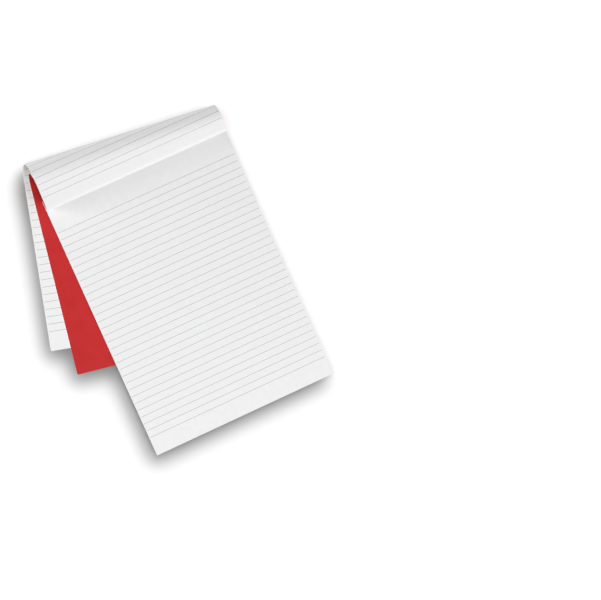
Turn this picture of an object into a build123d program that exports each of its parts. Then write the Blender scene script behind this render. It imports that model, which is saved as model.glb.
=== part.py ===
from build123d import *
import os
from dataclasses import dataclass
from math import atan, cos, radians, sin, tan

# A ruled writing pad lying open on a table. Its cover and its first leaves are turned over the
# head and lie beneath it, splayed to the left. Units are millimetres and degrees.
# The origin is on the table under the middle of the pad: +X runs across the leaves to their
# right edge, +Y runs from the foot to the head, and +Z is up.

# Paper and board
pad_width = 210.0
pad_length = 297.0
leaf_thickness = 0.08
leaves_lying_flat = 44
leaves_turned = 6
cover_thickness = 0.3
board_thickness = 0.8

# Head binding
glue_film = 0.4
cover_fold_radius = 0.3
cover_corner_radius = 2.0

# The way the turned leaves take over the head
leaf_bound_strip = 1.4
leaf_bulge_radius = 8.5
leaf_rise = 25.0
leaf_rising_run = 7.6
leaf_slant = 5.53

# The way the cover takes inside them
cover_nesting_gap = 1.64
cover_bound_strip = 1.1
cover_rise = 25.0
cover_rising_run = 6.6
cover_slant = 3.72

# The round nose of a turned sheet is a cone that is longer than the sheet is wide, and is cut along
# the sheet's side edges by a thicker blank that is drawn through this many straight creases
nose_stations = 9
nose_overlength = 20.0
nose_blank = 3.0

# Heights of what lies on what, from the table up
turned_stack = leaves_turned * leaf_thickness
block_thickness = leaves_lying_flat * leaf_thickness
board_bottom = turned_stack + cover_thickness
block_bottom = board_bottom + board_thickness
block_top = block_bottom + block_thickness
leaf_strip_top = block_top + turned_stack

right = pad_width / 2
left = -right
head = pad_length / 2


@dataclass
class TurnedSheet:
    """A sheet held along the head, bent over it and laid flat under the pad.

    Paper bends only along straight creases and doesn't stretch. From its bound strip the sheet
    bulges forward and up round a level cylinder, runs up a plane towards the head, turns over a
    slanted cone, the nose, and lies on a level plane. The slant of the nose is what splays the
    lower run. All heights are those of the middle of the sheet's thickness.
    """

    thickness: float
    strip_height: float
    lying_height: float
    bound_strip: float
    bulge_radius: float
    rise: float
    rising_run: float
    slant: float

    def __post_init__(self):
        # Where the bulge ends and the rising plane starts
        self.bulge_turn = 180 - self.rise
        bulge_end_y = head - self.bound_strip - self.bulge_radius * sin(radians(self.rise))
        climb = self.strip_height + self.bulge_radius * (1 + cos(radians(self.rise))) - self.lying_height
        self.slope_behind = climb / sin(radians(self.rise))
        bulge_length = self.bulge_radius * radians(self.bulge_turn)
        self.slope_to_foot = pad_length - self.bound_strip - bulge_length + self.slope_behind

        # The rising plane and the lower run's plane meet in a line along X. The cone touches both
        # planes, so its apex is on that line, and each touches it along a crease slanted alike.
        tangent = self.slope_behind + self.rising_run
        apex_x = right + tangent / tan(radians(self.slant))
        apex_y = bulge_end_y - self.slope_behind * cos(radians(self.rise))
        self.apex = Vector(apex_x, apex_y, self.lying_height)
        self.up_slope = Vector(0, cos(radians(self.rise)), sin(radians(self.rise)))
        self.outward = Vector(0, -sin(radians(self.rise)), cos(radians(self.rise)))

        # Half angle of the cone, its axis, and how far it is wrapped from plane to plane
        half_angle = atan(sin(radians(self.slant)) * tan(radians(self.rise / 2)))
        slant_back = Vector(-cos(radians(self.slant)), 0, 0)
        self.rising_crease = slant_back + self.up_slope * sin(radians(self.slant))
        self.lying_crease = slant_back + Vector(0, sin(radians(self.slant)), 0)
        axis = self.lying_crease * cos(half_angle) + Vector(0, 0, sin(half_angle))
        self.axis = Axis((0, 0, 0), axis)
        from_axis = [crease - axis * cos(half_angle) for crease in (self.rising_crease, self.lying_crease)]
        self.wrap = 360 - from_axis[0].get_angle(from_axis[1])
        self.sector = self.wrap * sin(half_angle)
        self.splay = 2 * self.slant + self.sector

    def bulge_end(self):
        """The two ends of the level crease in which the bulge ends and the rising plane starts."""
        behind = self.apex + self.up_slope * self.slope_behind
        return [Vector(x, behind.Y, behind.Z) for x in (left, right)]

    def nose_crease(self, share):
        """The two ends of the crease that lies that share of the way round the nose."""
        along = self.rising_crease.rotate(self.axis, share * self.wrap)
        angle = radians(self.slant + share * self.sector)
        return [self.apex + along * ((self.apex.X - x) / cos(angle)) for x in (left, right)]

    def foot(self):
        """The two ends of the sheet's foot, where it lies turned over and splayed under the pad."""
        return [
            self.apex + Vector(x - self.apex.X, -self.slope_to_foot, 0).rotate(Axis.Z, -self.splay)
            for x in (left, right)
        ]

    def section(self, share):
        """The plane of the sheet's thickness along that crease of the nose."""
        start, end = self.nose_crease(share)
        outward = self.outward.rotate(self.axis, share * self.wrap)
        return Plane(origin=(start + end) / 2, x_dir=end - start, z_dir=(end - start).cross(outward))


def flat_run(sheet, from_crease, to_crease, outward):
    """The flat stretch of the sheet between two creases."""
    level = Plane(origin=sheet.apex, x_dir=from_crease[1] - from_crease[0], z_dir=outward)
    corners = [level.to_local_coords(corner) for corner in from_crease + to_crease[::-1]]
    with BuildPart() as run:
        with BuildSketch(level):
            with BuildLine():
                Polyline(*corners, close=True)
            make_face()
        extrude(amount=sheet.thickness / 2, both=True)
    return run.part


def nose(sheet):
    """The round turn of the sheet: a conical shell, cut off along the sheet's straight side edges."""
    with BuildPart() as turn:
        start, end = sheet.nose_crease(0)
        with BuildSketch(sheet.section(0)):
            Rectangle((end - start).length + 2 * nose_overlength, sheet.thickness)
        revolve(axis=Axis(sheet.apex, sheet.axis.direction), revolution_arc=sheet.wrap)
        for station in range(nose_stations):
            share = station / (nose_stations - 1)
            start, end = sheet.nose_crease(share)
            with BuildSketch(sheet.section(share)):
                Rectangle((end - start).length, nose_blank * sheet.thickness)
        loft(mode=Mode.INTERSECT)
    return turn.part


def bend(sheet):
    """The sheet from the end of its bulge to its foot: rising run, nose and lower run."""
    first_crease, last_crease = sheet.nose_crease(0), sheet.nose_crease(1)
    with BuildPart() as bent:
        add(flat_run(sheet, sheet.bulge_end(), first_crease, sheet.outward))
        add(nose(sheet))
        add(flat_run(sheet, last_crease, sheet.foot(), Vector(0, 0, -1)))
    return bent.part


leaf_way = TurnedSheet(
    thickness=turned_stack,
    strip_height=block_top + turned_stack / 2,
    lying_height=turned_stack / 2,
    bound_strip=leaf_bound_strip,
    bulge_radius=leaf_bulge_radius,
    rise=leaf_rise,
    rising_run=leaf_rising_run,
    slant=leaf_slant,
)
cover_way = TurnedSheet(
    thickness=cover_thickness,
    strip_height=leaf_strip_top + cover_thickness / 2,
    lying_height=turned_stack + cover_thickness / 2,
    bound_strip=cover_bound_strip,
    bulge_radius=leaf_bulge_radius - cover_nesting_gap,
    rise=cover_rise,
    rising_run=cover_rising_run,
    slant=cover_slant,
)

# Leaves that lie flat, glued into one block at the head
with BuildPart() as page_block:
    with BuildSketch(Plane.XY.offset(block_bottom)):
        Rectangle(pad_width, pad_length)
    extrude(amount=block_thickness)

# Stiff board under the block
with BuildPart() as backing_board:
    with BuildSketch(Plane.XY.offset(board_bottom)):
        Rectangle(pad_width, pad_length)
    extrude(amount=board_thickness)

# Film of padding glue over the head faces of the board, the block and the turned leaves. Its upper
# edge is rounded, and the cover folds over it.
with BuildPart() as head_glue:
    with BuildSketch(Plane.XY.offset(board_bottom)):
        with Locations((0, head + glue_film / 2)):
            Rectangle(pad_width, glue_film)
    extrude(amount=leaf_strip_top - board_bottom)
    upper_edges = head_glue.edges().filter_by(Axis.X).group_by(Axis.Z)[-1]
    fillet(upper_edges.sort_by(Axis.Y)[-1], radius=cover_fold_radius)

# First leaves of the pad, turned over its head as one stack
with BuildPart() as turned_leaves:
    with BuildSketch(Plane.YZ):
        with BuildLine():
            Line((head, leaf_way.strip_height), (head - leaf_way.bound_strip, leaf_way.strip_height))
            CenterArc(
                (head - leaf_way.bound_strip, leaf_way.strip_height + leaf_way.bulge_radius),
                leaf_way.bulge_radius,
                start_angle=-90,
                arc_size=-leaf_way.bulge_turn,
            )
        trace(line_width=leaf_way.thickness)
    extrude(amount=right, both=True)
    add(bend(leaf_way))

# Card cover: it is glued down the head, folds over it and goes round inside the turned leaves
spine_y = head + glue_film + cover_thickness / 2
with BuildPart() as front_cover:
    with BuildSketch(Plane.YZ):
        with BuildLine():
            FilletPolyline(
                (spine_y, board_bottom),
                (spine_y, cover_way.strip_height),
                (head - cover_way.bound_strip, cover_way.strip_height),
                radius=cover_fold_radius + cover_thickness / 2,
            )
            CenterArc(
                (head - cover_way.bound_strip, cover_way.strip_height + cover_way.bulge_radius),
                cover_way.bulge_radius,
                start_angle=-90,
                arc_size=-cover_way.bulge_turn,
            )
        trace(line_width=cover_thickness)
    extrude(amount=right, both=True)
    add(bend(cover_way))
    foot_corners = front_cover.edges().filter_by(Axis.Z).group_by(Axis.Y)[:2]
    fillet([edge for group in foot_corners for edge in group], radius=cover_corner_radius)

pieces = {
    "page_block": page_block,
    "backing_board": backing_board,
    "head_glue": head_glue,
    "turned_leaves": turned_leaves,
    "front_cover": front_cover,
}
os.makedirs("parts", exist_ok=True)
for name, piece in pieces.items():
    piece.part.label = name
    export_step(piece.part, f"parts/{name}.step")
    print(name, "volume", round(piece.part.volume), "mm3", piece.part.bounding_box().size)
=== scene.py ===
"""A ruled writing pad lying open on a table, with its cover and first leaves turned over the head.

Lengths are metres and angles are radians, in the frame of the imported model: the origin is on the
table under the middle of the pad, +X runs across the leaves, +Y from the foot to the bound head,
and +Z is up.
"""

import logging
from dataclasses import dataclass, field, replace
from enum import Enum
from math import atan, cos, pi, radians, sin, tan
from typing import Any

import bpy
import numpy as np
from mathutils import Matrix, Vector


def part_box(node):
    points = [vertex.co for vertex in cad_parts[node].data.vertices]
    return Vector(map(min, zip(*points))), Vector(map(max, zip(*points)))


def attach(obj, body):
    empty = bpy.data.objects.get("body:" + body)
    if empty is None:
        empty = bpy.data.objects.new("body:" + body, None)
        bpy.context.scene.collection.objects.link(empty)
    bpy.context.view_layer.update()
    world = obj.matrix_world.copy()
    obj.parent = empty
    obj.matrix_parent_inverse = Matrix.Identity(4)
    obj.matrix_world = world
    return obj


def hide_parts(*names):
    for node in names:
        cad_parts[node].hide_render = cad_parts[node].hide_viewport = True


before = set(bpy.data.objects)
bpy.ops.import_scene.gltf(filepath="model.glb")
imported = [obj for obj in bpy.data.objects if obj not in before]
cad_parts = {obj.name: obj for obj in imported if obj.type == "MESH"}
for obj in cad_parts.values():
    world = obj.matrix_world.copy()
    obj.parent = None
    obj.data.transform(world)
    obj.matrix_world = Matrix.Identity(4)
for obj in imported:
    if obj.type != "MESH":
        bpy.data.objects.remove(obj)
log = logging.getLogger("writing_pad")

MILLIMETRE = 0.001
BODY = "root"
OUTLINE_SAMPLES = 400
SHARP_FROM = radians(40.0)

# The sRGB curve: straight at first, and then a power of the share of white moved up a little
SRGB_STRAIGHT_END = 0.04045
SRGB_STRAIGHT_SLOPE = 12.92
SRGB_SHIFT = 0.055
SRGB_POWER = 2.4

Points = np.ndarray  # the last axis holds x, y and z
Grid = np.ndarray  # one number for each row and column


class Slot(Enum):
    """The record's material slots."""

    PAPER = "ruled_paper"
    CARD = "cover_card"
    BOARD = "grey_board"
    GLUE = "padding_glue"


class Lit(Enum):
    """What a lamp lights."""

    PAD = "all_but_the_floor"
    FLOOR = "the_floor_alone"


# Finishes


def linear(colour: str) -> tuple[float, float, float, float]:
    """Turns an sRGB hex colour such as "#C83232" into the linear colour that a shader takes.

    Args:
        colour: a hash sign and six hex digits.

    Returns:
        Linear red, green and blue, with an alpha of 1.
    """
    shares = np.array([int(colour[at : at + 2], 16) for at in (1, 3, 5)]) / 255
    curved = ((shares + SRGB_SHIFT) / (1 + SRGB_SHIFT)) ** SRGB_POWER
    values = np.where(shares <= SRGB_STRAIGHT_END, shares / SRGB_STRAIGHT_SLOPE, curved)
    return (*values.tolist(), 1.0)


def cleared_tree(owner: bpy.types.Material | bpy.types.World) -> bpy.types.NodeTree:
    """Turns the owner's nodes on and takes out those that it starts with.

    Args:
        owner: a material or a world.

    Returns:
        Its node tree, with nothing in it.
    """
    owner.use_nodes = True
    owner.node_tree.nodes.clear()
    return owner.node_tree


def add_node(
    tree: bpy.types.NodeTree,
    kind: str,
    links: dict[str | int, bpy.types.NodeSocket] | None = None,
    inputs: dict[str | int, Any] | None = None,
    **settings: Any,
) -> bpy.types.Node:
    """Adds a node with its settings, its input values and the links into it.

    Args:
        tree: the node tree that gets the node.
        kind: the node's Blender type, such as ShaderNodeBump.
        links: for each input that another node drives, that node's output socket.
        inputs: for each input that is a plain value, the value.
        settings: the node's own properties, such as blend_type.

    Returns:
        The new node.
    """
    node = tree.nodes.new(kind)
    for name, value in settings.items():
        setattr(node, name, value)
    for name, value in (inputs or {}).items():
        node.inputs[name].default_value = value
    for name, socket in (links or {}).items():
        tree.links.new(socket, node.inputs[name])
    return node


@dataclass(frozen=True)
class Finish:
    """A surface of two close shades that mingle in flecks, with a fine grain that can be felt.

    The fleck is the width of the cloudy patches in which the two shades mingle, and the grain is the
    width of the bumps. The relief is how high the bumps stand. Below the low cloud the surface is all
    of one shade, and above the high cloud all of the other. The details are how many finer layers
    of noise the clouds and the grain have, and the cloud roughness is how strong those layers are.
    """

    name: str
    shade: str
    other_shade: str
    fleck: float
    grain: float
    relief: float
    roughness: float
    ior: float = 1.5
    low_cloud: float = 0.35
    high_cloud: float = 0.65
    cloud_detail: float = 4.0
    cloud_roughness: float = 0.6
    grain_detail: float = 2.0

    def material(self) -> bpy.types.Material:
        """Makes the material: noise between the two shades, and noise that drives the bumps.

        Returns:
            The new material.
        """
        material = bpy.data.materials.new(self.name)
        tree = cleared_tree(material)
        place = add_node(tree, "ShaderNodeTexCoord").outputs["Object"]
        clouds = add_node(
            tree,
            "ShaderNodeTexNoise",
            links={"Vector": place},
            inputs={
                "Scale": 1 / self.fleck,
                "Detail": self.cloud_detail,
                "Roughness": self.cloud_roughness,
            },
        )
        mingled = add_node(tree, "ShaderNodeValToRGB", links={"Fac": clouds.outputs["Fac"]})
        low, high = mingled.color_ramp.elements
        low.position, low.color = self.low_cloud, linear(self.shade)
        high.position, high.color = self.high_cloud, linear(self.other_shade)
        bumps = add_node(
            tree,
            "ShaderNodeTexNoise",
            links={"Vector": place},
            inputs={"Scale": 1 / self.grain, "Detail": self.grain_detail},
        )
        relief = add_node(
            tree,
            "ShaderNodeBump",
            links={"Height": bumps.outputs["Fac"]},
            inputs={"Strength": 1.0, "Distance": self.relief},
        )
        surface = add_node(
            tree,
            "ShaderNodeBsdfPrincipled",
            links={"Base Color": mingled.outputs["Color"], "Normal": relief.outputs["Normal"]},
            inputs={"Roughness": self.roughness, "IOR": self.ior},
        )
        add_node(tree, "ShaderNodeOutputMaterial", links={"Surface": surface.outputs["BSDF"]})
        return material


# Smooth uncoated writing paper of 60 g/m2: bright, matt, with a faint cloudy look-through
PAPER = Finish(
    "writing_paper_calendered",
    shade="#F0F0F1",
    other_shade="#F3F3F3",
    fleck=6 * MILLIMETRE,
    grain=0.5 * MILLIMETRE,
    relief=0.008 * MILLIMETRE,
    roughness=0.9,
)
# Thin grey offset ink that the paper has soaked up, so it is as matt as the paper
RULING_INK = Finish(
    "offset_ink_grey_printed",
    shade="#9C9EA8",
    other_shade="#A4A6AE",
    fleck=2 * MILLIMETRE,
    grain=0.5 * MILLIMETRE,
    relief=0.008 * MILLIMETRE,
    roughness=0.85,
)
# Card printed red and coated: a soft satin sheen, with a slight orange peel
RED_CARD = Finish(
    "cover_card_red_coated",
    shade="#C02426",
    other_shade="#C4292A",
    fleck=18 * MILLIMETRE,
    grain=0.9 * MILLIMETRE,
    relief=0.01 * MILLIMETRE,
    roughness=0.5,
    ior=1.33,
)
# The card's own uncoated back and its cut edge: matt and creamy
BARE_CARD = Finish(
    "cover_card_uncoated_back",
    shade="#E9E3D8",
    other_shade="#EFEAE0",
    fleck=3 * MILLIMETRE,
    grain=0.5 * MILLIMETRE,
    relief=0.015 * MILLIMETRE,
    roughness=0.85,
)
# Grey board pressed from waste paper: flecked fibres, matt and a little rough
GREY_BOARD = Finish(
    "grey_board_pressed",
    shade="#8F887D",
    other_shade="#A8A297",
    fleck=1.6 * MILLIMETRE,
    grain=0.7 * MILLIMETRE,
    relief=0.04 * MILLIMETRE,
    roughness=0.9,
)
# Brushed padding glue that has dried to a soft white film: a dull gloss with brush marks
PADDING_GLUE = Finish(
    "padding_glue_brushed",
    shade="#E6E2D6",
    other_shade="#EFECE3",
    fleck=5 * MILLIMETRE,
    grain=1.2 * MILLIMETRE,
    relief=0.06 * MILLIMETRE,
    roughness=0.4,
)


# Meshes and objects


def scene_object(name: str, data: bpy.types.ID) -> bpy.types.Object:
    """Puts a new object in the scene.

    Args:
        name: the new object's name.
        data: the mesh, the light or the camera that the object shows.

    Returns:
        The new object.
    """
    shown = bpy.data.objects.new(name, data)
    bpy.context.scene.collection.objects.link(shown)
    return shown


@dataclass
class Shell:
    """A closed mesh in the making: corners, four-sided faces and the finish of each face."""

    points: Points
    faces: np.ndarray
    finishes: np.ndarray

    @staticmethod
    def joined(shells: list["Shell"]) -> "Shell":
        """Puts several shells into one, each with its own corners.

        Args:
            shells: the shells, whose faces count their own corners from 0.

        Returns:
            One shell, in which each shell's faces count on from the corners before it.
        """
        starts = np.cumsum([0] + [len(shell.points) for shell in shells[:-1]])
        return Shell(
            np.concatenate([shell.points for shell in shells]),
            np.concatenate([shell.faces + start for shell, start in zip(shells, starts)]),
            np.concatenate([shell.finishes for shell in shells]),
        )

    def piece(self, name: str, finishes: list[Finish], slot: Slot, node: str) -> bpy.types.Object:
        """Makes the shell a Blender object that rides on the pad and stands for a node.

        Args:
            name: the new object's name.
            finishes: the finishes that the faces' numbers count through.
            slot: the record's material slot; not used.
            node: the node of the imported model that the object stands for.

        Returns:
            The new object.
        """
        mesh = bpy.data.meshes.new(name)
        mesh.vertices.add(len(self.points))
        mesh.vertices.foreach_set("co", self.points.astype(np.float32).ravel())
        mesh.loops.add(self.faces.size)
        mesh.loops.foreach_set("vertex_index", self.faces.astype(np.int32).ravel())
        mesh.polygons.add(len(self.faces))
        mesh.polygons.foreach_set("loop_start", np.arange(0, self.faces.size, 4, dtype=np.int32))
        mesh.polygons.foreach_set("material_index", self.finishes.astype(np.int32))
        mesh.polygons.foreach_set("use_smooth", np.ones(len(self.faces), dtype=bool))
        mesh.update(calc_edges=True)
        mesh.set_sharp_from_angle(angle=SHARP_FROM)
        for finish in finishes:
            mesh.materials.append(made(finish))
        piece = scene_object(name, mesh)
        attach(piece, BODY)
        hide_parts(node)
        return piece


def made(finish: Finish) -> bpy.types.Material:
    """The finish's material, made the first time that it is asked for."""
    return bpy.data.materials.get(finish.name) or finish.material()


def slab(
    front: Points, back: Points, front_finish: Grid, back_finish: Grid, rim_finish: int = 0
) -> Shell:
    """A closed thin solid between two grids of points, with a rim of faces round its four sides.

    A cell's corners are taken in turn round it, one way on the front grid and the other way on the
    back grid, and a rim face joins an outer edge of the front grid to the same edge of the back.
    A twisted cell splits along one diagonal in front and the other behind, so inside the cell the
    solid is a little thicker or thinner than at its corners.

    Args:
        front: rows by columns by 3, on the side from which rows run down and columns to the right.
        back: the same, on the other side.
        front_finish: the finish of each front face, one row and column fewer than the points.
        back_finish: the finish of each back face.
        rim_finish: the finish of the rim.

    Returns:
        The solid's shell.
    """
    rows, columns = front.shape[:2]
    number = np.arange(rows * columns).reshape(rows, columns)
    cell = (number[:-1, :-1], number[1:, :-1], number[1:, 1:], number[:-1, 1:])
    front_faces = np.stack(cell, axis=-1).reshape(-1, 4)
    back_faces = front_faces[:, ::-1] + rows * columns
    sides = [number[0, :-1], number[:-1, -1], number[-1, :0:-1], number[:0:-1, 0]]
    round_front = np.concatenate(sides)
    next_front = np.roll(round_front, -1)
    rim = np.stack([round_front, next_front, next_front + rows * columns, round_front + rows * columns])
    rim_finishes = np.full(rim.shape[1], rim_finish)
    return Shell(
        np.concatenate([front.reshape(-1, 3), back.reshape(-1, 3)]),
        np.concatenate([front_faces, back_faces, rim.T]),
        np.concatenate([front_finish.ravel(), back_finish.ravel(), rim_finishes]),
    )


# The pad's sheets


@dataclass(frozen=True)
class Ruling:
    """Printed lines that run across a leaf, the same on both of its faces."""

    first_line: float = 36.25 * MILLIMETRE
    pitch: float = 8 * MILLIMETRE
    lines: int = 31
    line_width: float = 0.4 * MILLIMETRE
    side_margin: float = 1.2 * MILLIMETRE

    def edges(self) -> np.ndarray:
        """The distance below the head of each line's two edges, in order."""
        middles = self.first_line + self.pitch * np.arange(self.lines)
        return (middles[:, None] + np.array([-0.5, 0.5]) * self.line_width).ravel()

    def column_places(self, width: float, count: int) -> np.ndarray:
        """Spaces a leaf's columns, with one at each end of the lines and one at each edge.

        Args:
            width: the leaf's width.
            count: how many columns there are from one end of the lines to the other.

        Returns:
            The columns' distances from the middle of the leaf.
        """
        line_end = width / 2 - self.side_margin
        inner = np.linspace(-line_end, line_end, count)
        return np.concatenate([[-width / 2], inner, [width / 2]])

    def printed(self, across: np.ndarray, down: np.ndarray, width: float) -> Grid:
        """Tells which cells of a leaf's grid are printed.

        Args:
            across: the columns' distances from the middle of the leaf.
            down: the rows' distances below the head.
            width: the leaf's width.

        Returns:
            1 for each printed cell and 0 for the others.
        """
        middle_across = (across[1:] + across[:-1]) / 2
        middle_down = (down[1:] + down[:-1]) / 2
        from_line = (middle_down - self.first_line) / self.pitch
        near = np.abs(from_line - np.clip(np.round(from_line), 0, self.lines - 1)) * self.pitch
        inside = np.abs(middle_across) < width / 2 - self.side_margin
        return ((near < self.line_width / 2)[:, None] & inside[None, :]).astype(int)


@dataclass(frozen=True)
class TurnedSheet:
    """A sheet bound along the head, bent over it and laid flat under the pad.

    Paper bends only along straight creases and doesn't stretch. From its bound strip the sheet
    bulges forward and up round a level cylinder, runs up a plane towards the head, turns over a
    slanted cone, the nose, and lies on a level plane. The slant of the nose is what splays the
    lower run. All heights are those of the middle of the sheet's thickness.
    """

    width: float
    length: float
    thickness: float
    strip_height: float
    lying_height: float
    bound_strip: float
    bulge_radius: float
    rise: float
    rising_run: float
    slant: float

    def outside_by(self, step: float) -> "TurnedSheet":
        """The same way taken by a sheet that lies further out, on the outside of each bend.

        Args:
            step: how much further out.

        Returns:
            The other sheet.
        """
        return replace(
            self,
            strip_height=self.strip_height - step,
            lying_height=self.lying_height - step,
            bulge_radius=self.bulge_radius + step,
        )

    def lying_outline(self) -> Points:
        """Finds the corners of the lower run in plan.

        Two are at the foot. The other two are where the sheet's side edges reach furthest out past
        the head.

        Returns:
            x and y of the four corners, taken anticlockwise from the right side of the foot.
        """
        down = np.linspace(0, self.length, OUTLINE_SAMPLES)
        right, _ = self.place(np.full_like(down, self.width / 2), down)
        left, _ = self.place(np.full_like(down, -self.width / 2), down)
        furthest_right, furthest_left = right[right[:, 1].argmax()], left[left[:, 1].argmax()]
        return np.array([right[-1], furthest_right, furthest_left, left[-1]])[:, :2]

    def bulge_end(self) -> float:
        """The distance below the head at which the bulge ends and the rising plane starts."""
        return self.bound_strip + self.bulge_radius * (pi - self.rise)

    def round_bulge(self, across: np.ndarray, down: np.ndarray) -> tuple[Points, Points]:
        """Finds where points go in the bound strip and the bulge.

        In the bound strip a point keeps its height. In the bulge it goes round a circle that rises
        from the strip, by its distance over the radius.

        Args:
            across: distances from the middle of the sheet to the right.
            down: distances below the head, of the same shape.

        Returns:
            The points, and unit normals that point out of the bulge.
        """
        turn = np.clip((down - self.bound_strip) / self.bulge_radius, 0, pi - self.rise)
        centre_y = self.length / 2 - np.minimum(down, self.bound_strip)
        centre_z = self.strip_height + self.bulge_radius
        normals = np.stack([0 * turn, -np.sin(turn), -np.cos(turn)], axis=-1)
        centres = np.stack([across, centre_y, centre_z + 0 * turn], axis=-1)
        return centres + self.bulge_radius * normals, normals

    def round_nose(self, across: np.ndarray, down: np.ndarray) -> tuple[Points, Points]:
        """Finds where points go past the bulge: on the rising plane, the nose and the level plane.

        A point is given by its distance r from the cone's apex and its angle from the line through
        the apex along X. At an angle under the slant it is on the rising plane. Past the slant it
        goes round the cone by the extra angle over the sine of the cone's half angle, at the same
        r. Past the cone's sector it is on the level plane, at the angle that is left.

        Args:
            across: distances from the middle of the sheet to the right.
            down: distances below the head, of the same shape.

        Returns:
            The points, and unit normals that point out of the bends.
        """
        rise, slant = self.rise, self.slant
        climb = self.strip_height + self.bulge_radius * (1 + cos(rise)) - self.lying_height
        slope_behind = climb / sin(rise)
        apex_x = self.width / 2 + (slope_behind + self.rising_run) / tan(slant)
        apex_y = self.length / 2 - self.bound_strip - self.bulge_radius * sin(rise)
        apex = np.array([apex_x, apex_y - slope_behind * cos(rise), self.lying_height])

        # The cone's axis, and the spokes from it to the creases that it starts and ends in
        half_angle = atan(sin(slant) * tan(rise / 2))
        back, ahead, up = np.diag([-1.0, 1.0, 1.0])
        up_slope = cos(rise) * ahead + sin(rise) * up
        rising_crease = cos(slant) * back + sin(slant) * up_slope
        lying_crease = cos(slant) * back + sin(slant) * ahead
        axis = cos(half_angle) * lying_crease + sin(half_angle) * up
        spoke = (rising_crease - cos(half_angle) * axis) / sin(half_angle)
        last_spoke = (lying_crease - cos(half_angle) * axis) / sin(half_angle)
        next_spoke = np.cross(axis, spoke)
        sector = (2 * pi - np.arccos(spoke @ last_spoke)) * sin(half_angle)

        beside = (apex_x - across)[..., None]
        along = (down - self.bulge_end() + slope_behind)[..., None]
        far = np.hypot(beside, along)
        angle = np.arctan2(along, beside)
        rising = apex + beside * back + along * up_slope
        rising_normal = cos(rise) * up - sin(rise) * ahead + 0 * rising
        turn = np.clip(angle - slant, 0, sector) / sin(half_angle)
        outward = spoke * np.cos(turn) + next_spoke * np.sin(turn)
        nose = apex + far * (cos(half_angle) * axis + sin(half_angle) * outward)
        nose_normal = cos(half_angle) * outward - sin(half_angle) * axis
        left_over = 2 * slant + sector - angle
        lying = apex + far * (np.cos(left_over) * back + np.sin(left_over) * ahead)
        stretches = [angle <= slant, angle <= slant + sector]
        points = np.select(stretches, [rising, nose], lying)
        return points, np.select(stretches, [rising_normal, nose_normal], -up)

    def place(self, across: np.ndarray, down: np.ndarray) -> tuple[Points, Points]:
        """Finds where points of the flat sheet go when it is bent.

        Args:
            across: distances from the middle of the sheet to the right.
            down: distances below the head, of a shape that goes with that of across.

        Returns:
            The points, and unit normals that point out of the bends.
        """
        across, down = np.broadcast_arrays(across, down)
        before, before_normals = self.round_bulge(across, down)
        after, after_normals = self.round_nose(across, down)
        in_bulge = (down <= self.bulge_end())[..., None]
        return np.where(in_bulge, before, after), np.where(in_bulge, before_normals, after_normals)


@dataclass(frozen=True)
class FoldedCover(TurnedSheet):
    """A turned sheet that also folds down over the head, where it is glued."""

    fold_radius: float
    spine_foot: float
    spine_distance: float

    def spine_length(self) -> float:
        """The sheet's length past the head line: a level bit, the fold and the spine."""
        level = self.spine_distance - self.fold_radius
        return level + self.fold_radius * pi / 2 + self.strip_height - self.fold_radius - self.spine_foot

    def place(self, across: np.ndarray, down: np.ndarray) -> tuple[Points, Points]:
        """Finds where points of the flat cover go. Those above the head line have down under 0.

        Past the head line the sheet runs on level to the fold, turns down through a quarter circle
        and then runs straight down the head.

        Args:
            across: distances from the middle of the sheet to the right.
            down: distances below the head, down to minus the spine's length.

        Returns:
            The points, and unit normals that point away from the printed face.
        """
        across, down = np.broadcast_arrays(across, down)
        points, normals = super().place(across, np.maximum(down, 0))
        past = -down
        level = self.spine_distance - self.fold_radius
        turn = np.clip((past - level) / self.fold_radius, 0, pi / 2)
        fallen = np.maximum(past - level - self.fold_radius * pi / 2, 0)
        head = self.length / 2
        out = head + np.minimum(past, level) + self.fold_radius * np.sin(turn)
        height = self.strip_height - self.fold_radius * (1 - np.cos(turn)) - fallen
        spine = np.stack([across, out, height], axis=-1)
        spine_normal = np.stack([0 * turn, -np.sin(turn), -np.cos(turn)], axis=-1)
        on_spine = (down < 0)[..., None]
        return np.where(on_spine, spine, points), np.where(on_spine, spine_normal, normals)


@dataclass
class Pad:
    """The sizes that the pad's pieces share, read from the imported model."""

    leaves_turned: int = 6
    block_low: Vector = field(init=False)
    block_high: Vector = field(init=False)
    board_low: Vector = field(init=False)
    board_high: Vector = field(init=False)
    glue_low: Vector = field(init=False)
    glue_high: Vector = field(init=False)
    width: float = field(init=False)
    length: float = field(init=False)
    stack: float = field(init=False)
    cover_thickness: float = field(init=False)
    leaf: float = field(init=False)

    def __post_init__(self) -> None:
        """Reads the nodes' boxes and works out what the pieces share.

        The turned stack lies on the table and carries the cover, and the board lies on the cover.
        """
        self.block_low, self.block_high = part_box("page_block")
        self.board_low, self.board_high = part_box("backing_board")
        self.glue_low, self.glue_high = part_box("head_glue")
        self.width = self.block_high.x - self.block_low.x
        self.length = self.block_high.y - self.block_low.y
        self.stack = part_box("front_cover")[0].z
        self.cover_thickness = self.board_low.z - self.stack
        self.leaf = self.stack / self.leaves_turned

    def leaves_flat(self) -> int:
        """How many leaves lie flat in the block."""
        return round((self.block_high.z - self.block_low.z) / self.leaf)

    def outline(self) -> Points:
        """The block's corners in plan, taken anticlockwise from the right side of the foot."""
        low, high = self.block_low, self.block_high
        return np.array([[high.x, low.y], [high.x, high.y], [low.x, high.y], [low.x, low.y]])


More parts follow.
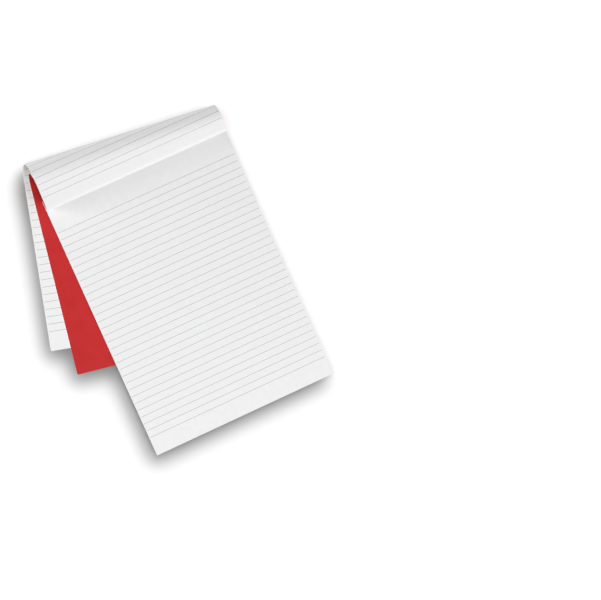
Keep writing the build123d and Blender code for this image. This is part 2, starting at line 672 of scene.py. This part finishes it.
@dataclass
class TurnedLeaves:
    """The first leaves of the pad, turned over its head one on another."""

    pad: Pad
    ruling: Ruling
    bound_strip: float = 1.4 * MILLIMETRE
    bulge_radius: float = 8.5 * MILLIMETRE
    rise: float = radians(25.0)
    rising_run: float = 7.6 * MILLIMETRE
    slant: float = radians(5.53)
    columns: int = 36
    bend_step: float = 0.8 * MILLIMETRE
    bend_zone: float = 118 * MILLIMETRE
    flat_rows: int = 12
    paper_share: float = 0.9

    def middle_sheet(self) -> TurnedSheet:
        """The way of the middle of the stack.

        Returns:
            A sheet as thick as one leaf, less what is left open so that the leaves show apart.
        """
        return TurnedSheet(
            width=self.pad.width,
            length=self.pad.length,
            thickness=self.pad.leaf * self.paper_share,
            strip_height=self.pad.block_high.z + self.pad.stack / 2,
            lying_height=self.pad.stack / 2,
            bound_strip=self.bound_strip,
            bulge_radius=self.bulge_radius,
            rise=self.rise,
            rising_run=self.rising_run,
            slant=self.slant,
        )

    def rows(self) -> np.ndarray:
        """Spaces the rows: close together in the bends, and one at each edge of each line.

        Returns:
            The rows' distances below the head.
        """
        bends = np.arange(0, self.bend_zone, self.bend_step)
        flat = np.linspace(self.bend_zone, self.pad.length, self.flat_rows)
        edges = self.ruling.edges()
        plain = np.concatenate([bends, flat])
        clear = np.abs(plain[:, None] - edges[None, :]).min(axis=1) > self.ruling.line_width / 2
        return np.sort(np.concatenate([plain[clear], edges]))

    def build(self) -> list[bpy.types.Object]:
        """Makes each leaf a piece of its own. The first is innermost and the last outermost.

        Each leaf follows the stack's middle at its own distance from it, keeps its own length and
        so ends a little short of the one inside it.

        Returns:
            The leaves.
        """
        down = self.rows()
        across = self.ruling.column_places(self.pad.width, self.columns)
        printed = self.ruling.printed(across, down, self.pad.width)
        leaves = []
        for number in range(self.pad.leaves_turned):
            step = (number - (self.pad.leaves_turned - 1) / 2) * self.pad.leaf
            way = self.middle_sheet().outside_by(step)
            points, normals = way.place(across[None, :], down[:, None])
            half = normals * way.thickness / 2
            shell = slab(points - half, points + half, printed, printed)
            name = f"turned_leaf_{number + 1}"
            leaves.append(shell.piece(name, [PAPER, RULING_INK], Slot.PAPER, "turned_leaves"))
        return leaves


@dataclass
class FrontCover:
    """The card cover, folded over the head and nested inside the turned leaves."""

    pad: Pad
    bound_strip: float = 1.1 * MILLIMETRE
    bulge_radius: float = 6.86 * MILLIMETRE
    rise: float = radians(25.0)
    rising_run: float = 6.6 * MILLIMETRE
    slant: float = radians(3.72)
    fold_radius: float = 0.45 * MILLIMETRE
    columns: int = 36
    bend_step: float = 0.9 * MILLIMETRE
    bend_zone: float = 93 * MILLIMETRE
    fold_rows: int = 7
    flat_rows: int = 12
    corner_radius: float = 2.0 * MILLIMETRE
    corner_steps: int = 8
    card_share: float = 0.96

    def way(self) -> FoldedCover:
        """The way of the middle of the card.

        Returns:
            A sheet as thick as the card, less a hair so that it shows apart from its neighbours.
        """
        strip_height = self.pad.block_high.z + self.pad.stack + self.pad.cover_thickness / 2
        return FoldedCover(
            width=self.pad.width,
            length=self.pad.length,
            thickness=self.pad.cover_thickness * self.card_share,
            strip_height=strip_height,
            lying_height=self.pad.stack + self.pad.cover_thickness / 2,
            bound_strip=self.bound_strip,
            bulge_radius=self.bulge_radius,
            rise=self.rise,
            rising_run=self.rising_run,
            slant=self.slant,
            fold_radius=self.fold_radius,
            spine_foot=self.pad.glue_low.z,
            spine_distance=self.pad.glue_high.y + self.pad.cover_thickness / 2 - self.pad.length / 2,
        )

    def build(self) -> list[bpy.types.Object]:
        """Makes the cover: red on the face that shows, bare card behind and at its edges.

        The foot corners are round. In the last rows each row is as much shorter as the corner's
        circle needs at its distance from the foot.

        Returns:
            The cover alone.
        """
        way = self.way()
        fold_end = -(way.spine_distance - way.fold_radius)
        fold = np.linspace(fold_end - way.fold_radius * pi / 2, fold_end, self.fold_rows)
        bends = np.arange(0, self.bend_zone, self.bend_step)
        corner_start = self.pad.length - self.corner_radius
        flat = np.linspace(self.bend_zone, corner_start, self.flat_rows)
        sweep = np.linspace(0, pi / 2, self.corner_steps + 1)[1:]
        corner = corner_start + self.corner_radius * np.sin(sweep)
        down = np.concatenate([[-way.spine_length()], fold, bends, flat, corner])
        share = np.linspace(-1, 1, self.columns)
        cut = np.zeros_like(down)
        cut[-self.corner_steps :] = self.corner_radius * (1 - np.cos(sweep))
        across = share[None, :] * (self.pad.width / 2 - cut)[:, None]
        points, normals = way.place(across, down[:, None])
        half = normals * way.thickness / 2
        red = np.zeros((len(down) - 1, self.columns - 1), int)
        shell = slab(points - half, points + half, red, red + 1, rim_finish=1)
        return [shell.piece("card_cover", [RED_CARD, BARE_CARD], Slot.CARD, "front_cover")]


@dataclass
class PageBlock:
    """The leaves that lie flat, each a sheet of its own, trimmed flush but for a hair."""

    pad: Pad
    ruling: Ruling
    columns: int = 14
    paper_share: float = 0.9
    trim_error: float = 0.05 * MILLIMETRE
    foot_lift: float = 0.35 * MILLIMETRE
    seed: int = 7

    def leaf(self, number: int, shift: np.ndarray) -> Shell:
        """Makes one leaf.

        It is a level sheet whose foot lifts towards its corners: by the square of the distance from
        the middle, times the fourth power of the distance from the head, both as shares. The lift
        grows with the cube of the leaf's place in the block, so that no leaf meets the next.

        Args:
            number: the leaf's place, counted from the board.
            shift: how far the leaf is off its true place along X and Y.

        Returns:
            The leaf's shell.
        """
        half_width = self.pad.width / 2
        across = self.ruling.column_places(self.pad.width, self.columns)
        down = np.sort(np.concatenate([[0, self.pad.length], self.ruling.edges()]))
        place = (number + 0.5) / self.pad.leaves_flat()
        to_side, to_foot = np.meshgrid(across / half_width, down / self.pad.length)
        lift = self.foot_lift * place**3 * to_side**2 * to_foot**4
        x = to_side * half_width + shift[0]
        y = self.pad.block_high.y - to_foot * (self.pad.length + shift[1])
        z = self.pad.block_low.z + (number + 0.5) * self.pad.leaf + lift
        middle = np.stack([x, y, z], axis=-1)
        half = np.array([0, 0, self.pad.leaf * self.paper_share / 2])
        printed = self.ruling.printed(across, down, self.pad.width)
        return slab(middle + half, middle - half, printed, printed)

    def build(self) -> list[bpy.types.Object]:
        """Makes the top leaf one piece, and the leaves under it another.

        Returns:
            The two pieces.
        """
        chance = np.random.default_rng(self.seed)
        count = self.pad.leaves_flat()
        shifts = chance.uniform(-self.trim_error, self.trim_error, (count, 2))
        leaves = [self.leaf(number, shifts[number]) for number in range(count)]
        finishes = [PAPER, RULING_INK]
        return [
            leaves[-1].piece("top_leaf", finishes, Slot.PAPER, "page_block"),
            Shell.joined(leaves[:-1]).piece("leaves_below", finishes, Slot.PAPER, "page_block"),
        ]


@dataclass
class BackingBoard:
    """The stiff board under the block, with edges that the knife has rounded a little."""

    pad: Pad
    edge_radius: float = 0.15 * MILLIMETRE
    edge_steps: int = 3
    rows: int = 10
    columns: int = 7

    def build(self) -> list[bpy.types.Object]:
        """Makes the board: a level slab with a bevel along its edges.

        Returns:
            The board alone.
        """
        low, high = self.pad.board_low, self.pad.board_high
        across = np.linspace(low.x, high.x, self.columns + 1)
        down = np.linspace(high.y, low.y, self.rows + 1)
        x, y = np.meshgrid(across, down)
        top = np.stack([x, y, np.full_like(x, high.z)], axis=-1)
        bottom = np.stack([x, y, np.full_like(x, low.z)], axis=-1)
        plain = np.zeros((self.rows, self.columns), int)
        shell = slab(top, bottom, plain, plain)
        board = shell.piece("grey_board", [GREY_BOARD], Slot.BOARD, "backing_board")
        bevel = board.modifiers.new("knife_rounding", "BEVEL")
        bevel.width = self.edge_radius
        bevel.segments = self.edge_steps
        bevel.limit_method = "ANGLE"
        return [board]


@dataclass
class HeadGlue:
    """The film of padding glue down the head, brushed on along it."""

    pad: Pad
    top_radius: float = 0.3 * MILLIMETRE
    brush_depth: float = 0.04 * MILLIMETRE
    long_wave: float = 23 * MILLIMETRE
    short_wave: float = 7.13 * MILLIMETRE
    stations: int = 85
    edge_stations: int = 5

    def build(self) -> list[bpy.types.Object]:
        """Makes the film: a flat section with a round upper edge, carried along the head.

        Its outer face waves in and out along the head by the product of two sines, of a long and a
        short wave, so that its thickness is that of brushed glue.

        Returns:
            The film alone.
        """
        low, high = self.pad.glue_low, self.pad.glue_high
        x = np.linspace(low.x, high.x, self.stations)
        sweep = np.linspace(0, pi / 2, self.edge_stations)
        out = np.concatenate([[high.y], high.y - self.top_radius * (1 - np.cos(sweep))])
        height = np.concatenate([[low.z], high.z - self.top_radius * (1 - np.sin(sweep))])
        wave = np.sin(2 * pi * x / self.long_wave) * np.sin(2 * pi * x / self.short_wave)
        depth = self.brush_depth * (1 + wave) / 2
        y = out[:, None] - depth[None, :]
        z = height[:, None] + 0 * y
        outer = np.stack([x[None, :] + 0 * y, y, z], axis=-1)[::-1]
        inner = outer.copy()
        inner[..., 1] = low.y
        plain = np.zeros((len(out) - 1, len(x) - 1), int)
        shell = slab(outer[:, ::-1], inner[:, ::-1], plain, plain)
        return [shell.piece("brushed_glue", [PADDING_GLUE], Slot.GLUE, "head_glue")]


# The studio


@dataclass(frozen=True)
class PhotoView:
    """The camera. It looks down on the pad from nearly straight above."""

    image_width: int = 601
    image_height: int = 600
    sensor: float = 36.0
    target: Vector = Vector((0, 0, 0.004))
    target_pixel: tuple[float, float] = (189.42, 288.85)
    pixels_per_metre: float = 932.0
    distance: float = 3.0
    lean: tuple[float, float] = (radians(5.716), radians(-4.916))
    roll: float = radians(24.494)
    clip_end: float = 100.0

    def build(self) -> bpy.types.Object:
        """Makes the camera and makes it the scene's.

        It is first aimed at the target, with the image's right turned by the roll from X. A small
        turn then brings the target from the image's middle to its own pixel, so no shift is needed.

        Returns:
            The camera.
        """
        lens_pixels = self.pixels_per_metre * self.distance
        ahead = Vector((tan(self.lean[0]), tan(self.lean[1]), -1)).normalized()
        right = Vector((cos(self.roll), -sin(self.roll), 0))
        right = (right - ahead * right.dot(ahead)).normalized()
        aimed = Matrix((right, right.cross(ahead), -ahead)).transposed()
        sideways = self.target_pixel[0] - self.image_width / 2
        upwards = self.image_height / 2 - self.target_pixel[1]
        ray = Vector((sideways, upwards, -lens_pixels))
        turn = ray.rotation_difference(Vector((0, 0, -1))).to_matrix()
        data = bpy.data.cameras.new("camera")
        data.sensor_width = self.sensor
        data.lens = lens_pixels / self.image_width * self.sensor
        data.clip_end = self.clip_end
        camera = scene_object("camera", data)
        stand = Matrix.Translation(self.target - ahead * self.distance)
        camera.matrix_world = stand @ (aimed @ turn).to_4x4()
        bpy.context.scene.camera = camera
        return camera


@dataclass(frozen=True)
class Softbox:
    """A square lamp that faces the pad.

    Its level is the share of white that it alone gives a sheet that lies flat at the origin.
    """

    name: str
    lit: Lit
    direction: tuple[float, float, float]
    side: float
    level: float
    distance: float = 2.0

    def build(self, receivers: bpy.types.Collection) -> bpy.types.Object:
        """Makes the lamp.

        Its power is pi squared times the squared distance, over the cosine at the sheet, times the
        level.

        Args:
            receivers: the collection that says what the lamp lights.

        Returns:
            The lamp.
        """
        towards = Vector(self.direction).normalized()
        data = bpy.data.lights.new(self.name, "AREA")
        data.size = self.side
        data.energy = pi**2 * self.distance**2 / towards.z * self.level
        lamp = scene_object(self.name, data)
        lamp.location = towards * self.distance
        lamp.rotation_euler = towards.to_track_quat("Z", "Y").to_euler()
        lamp.light_linking.receiver_collection = receivers
        return lamp


@dataclass(frozen=True)
class PaintedWideShadow:
    """The shadow in the photograph, which is wider than sheets as thin as these cast on a table.

    It is painted into the floor's colour: the outlines of the pad's flat parts, moved a little and
    blurred.
    """

    offset: tuple[float, float] = (-8.4 * MILLIMETRE, -8.2 * MILLIMETRE)
    blur: float = 9.7 * MILLIMETRE
    depth: float = 0.5
    logistic_slope: float = 1.702
    display_gamma: float = 2.2

    def covered(self, places: Points, outline: Points) -> Grid:
        """How much of a blurred outline covers each place.

        It is the product, over the outline's sides, of a logistic curve of the distance past the
        side, with the slope at which that curve is nearest to a normal distribution's.

        Args:
            places: x and y of each place.
            outline: x and y of the corners of a convex outline, taken anticlockwise.

        Returns:
            A share from 0 to 1 for each place.
        """
        sides = np.roll(outline, -1, axis=0) - outline
        outwards = np.stack([sides[:, 1], -sides[:, 0]], axis=-1) / np.hypot(*sides.T)[:, None]
        past = ((places[:, None, :] - outline - np.array(self.offset)) * outwards).sum(axis=-1)
        return np.prod(1 / (1 + np.exp(self.logistic_slope * past / self.blur)), axis=-1)

    def light_left(self, places: Points, outlines: list[Points]) -> Grid:
        """The share of light that is left at each place.

        What each outline leaves uncovered is multiplied together, and the depth is taken off in the
        display's scale of greys.

        Args:
            places: x and y of each place.
            outlines: the pad's flat parts.

        Returns:
            A share from 0 to 1 for each place.
        """
        bare = np.prod([1 - self.covered(places, outline) for outline in outlines], axis=0)
        return (1 - self.depth * (1 - bare)) ** self.display_gamma


@dataclass(frozen=True)
class Studio:
    """Plain soft light over a white floor.

    The floor has a lamp of its own, because the photograph's floor is pure white where its paper
    isn't, and its shadows fall mostly to the left and below.
    """

    # The outlines round which the floor's shadow is painted
    outlines: list[Points]
    floor_reach: float = 4.0
    floor_drop: float = 0.05 * MILLIMETRE
    shadow_reach: float = 0.3
    shadow_step: float = 3 * MILLIMETRE
    sky_level: float = 0.46
    floor_lift: float = 0.49
    # The floor's colour attribute that carries the painted shadow
    shade_name: str = "light_left"
    lamps: tuple[Softbox, ...] = (
        Softbox("front_softbox", Lit.PAD, (0.25, -0.83, 0.48), side=1.2, level=0.32),
        Softbox("side_softbox", Lit.PAD, (-0.87, 0.36, 0.17), side=1.0, level=0.22),
        Softbox("floor_softbox", Lit.FLOOR, (0.40, 0.50, 0.77), side=0.8, level=0.15),
    )

    def where_seen(self, tree: bpy.types.NodeTree) -> bpy.types.NodeSocket:
        """Adds the nodes that tell the rays that see a thing from the rays that it lights.

        Args:
            tree: the node tree that gets the nodes.

        Returns:
            A socket that is 1 for camera, glossy and transmission rays and 0 for the others.
        """
        path = add_node(tree, "ShaderNodeLightPath")
        seen = path.outputs["Is Camera Ray"]
        for name in ("Is Glossy Ray", "Is Transmission Ray"):
            pair = {0: seen, 1: path.outputs[name]}
            seen = add_node(tree, "ShaderNodeMath", pair, operation="MAXIMUM").outputs["Value"]
        return seen

    def build_sky(self) -> None:
        """Makes the world: white where it is seen, and an even soft light elsewhere."""
        world = bpy.data.worlds.new("studio_sky")
        tree = cleared_tree(world)
        light, white = [
            add_node(
                tree,
                "ShaderNodeBackground",
                inputs={"Color": linear("#FFFFFF"), "Strength": level},
            )
            for level in (self.sky_level, 1.0)
        ]
        links = {
            "Fac": self.where_seen(tree),
            1: light.outputs["Background"],
            2: white.outputs["Background"],
        }
        either = add_node(tree, "ShaderNodeMixShader", links)
        add_node(tree, "ShaderNodeOutputWorld", {"Surface": either.outputs["Shader"]})
        bpy.context.scene.world = world

    def floor_material(self) -> bpy.types.Material:
        """Makes the floor's finish.

        It is matt white, lifted where it is seen so that it is pure white, and darkened by the wide
        shadow that is painted into its colour.

        Returns:
            The new material.
        """
        material = bpy.data.materials.new("floor_white_matt")
        tree = cleared_tree(material)
        left = add_node(tree, "ShaderNodeAttribute", attribute_name=self.shade_name).outputs["Color"]
        matt = add_node(tree, "ShaderNodeBsdfDiffuse", {"Color": left})
        seen = self.where_seen(tree)
        lift = add_node(tree, "ShaderNodeMath", {0: seen}, {1: self.floor_lift}, operation="MULTIPLY")
        glow_links = {"Color": left, "Strength": lift.outputs["Value"]}
        glow = add_node(tree, "ShaderNodeEmission", glow_links)
        both_links = {0: matt.outputs["BSDF"], 1: glow.outputs["Emission"]}
        both = add_node(tree, "ShaderNodeAddShader", both_links)
        add_node(tree, "ShaderNodeOutputMaterial", {"Surface": both.outputs["Shader"]})
        return material

    def build_floor(self) -> bpy.types.Object:
        """Makes the floor: a level grid a hair under the pad, fine near it and coarse far off.

        The light left by the wide painted shadow is a colour attribute of the grid's corners, which
        colours the floor.

        Returns:
            The floor.
        """
        near = np.arange(-self.shadow_reach, self.shadow_reach, self.shadow_step)
        line = np.concatenate([[-self.floor_reach], near, [self.shadow_reach, self.floor_reach]])
        x, y = np.meshgrid(line, line)
        places = np.stack([x, y, np.full_like(x, -self.floor_drop)], axis=-1)
        number = np.arange(x.size).reshape(x.shape)
        cells = np.stack([number[:-1, :-1], number[:-1, 1:], number[1:, 1:], number[1:, :-1]], axis=-1)
        mesh = bpy.data.meshes.new("floor")
        mesh.from_pydata(places.reshape(-1, 3), [], cells.reshape(-1, 4))
        # The painted shadow: the floor's colour is darkened round the pad's flat parts
        left = PaintedWideShadow().light_left(places[..., :2].reshape(-1, 2), self.outlines)
        colours = np.stack([left, left, left, np.ones_like(left)], axis=-1)
        attribute = mesh.color_attributes.new(self.shade_name, "FLOAT_COLOR", "POINT")
        attribute.data.foreach_set("color", colours.astype(np.float32).ravel())
        mesh.materials.append(self.floor_material())
        floor = scene_object("floor", mesh)
        return floor

    def build(self) -> None:
        """Makes the sky, the floor and the lamps, and sets the plain view transform."""
        bpy.context.scene.view_settings.view_transform = "Standard"
        self.build_sky()
        floor = self.build_floor()
        receivers = {lit: bpy.data.collections.new(lit.value) for lit in Lit}
        for collection in receivers.values():
            collection.objects.link(floor)
        receivers[Lit.PAD].collection_objects[0].light_linking.link_state = "EXCLUDE"
        for lamp in self.lamps:
            lamp.build(receivers[lamp.lit])


def main() -> None:
    """Builds the camera, the studio and the pad's pieces."""
    logging.basicConfig(level=logging.INFO, format="%(message)s")
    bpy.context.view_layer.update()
    PhotoView().build()
    pad, ruling = Pad(), Ruling()
    turned_leaves, front_cover = TurnedLeaves(pad, ruling), FrontCover(pad)
    sheets = [turned_leaves.middle_sheet(), front_cover.way()]
    Studio([pad.outline()] + [sheet.lying_outline() for sheet in sheets]).build()
    block, board, glue = PageBlock(pad, ruling), BackingBoard(pad), HeadGlue(pad)
    for assembly in (block, board, glue, turned_leaves, front_cover):
        for piece in assembly.build():
            log.info("%s: %d faces", piece.name, len(piece.data.polygons))


if __name__ == "__main__":
    main()
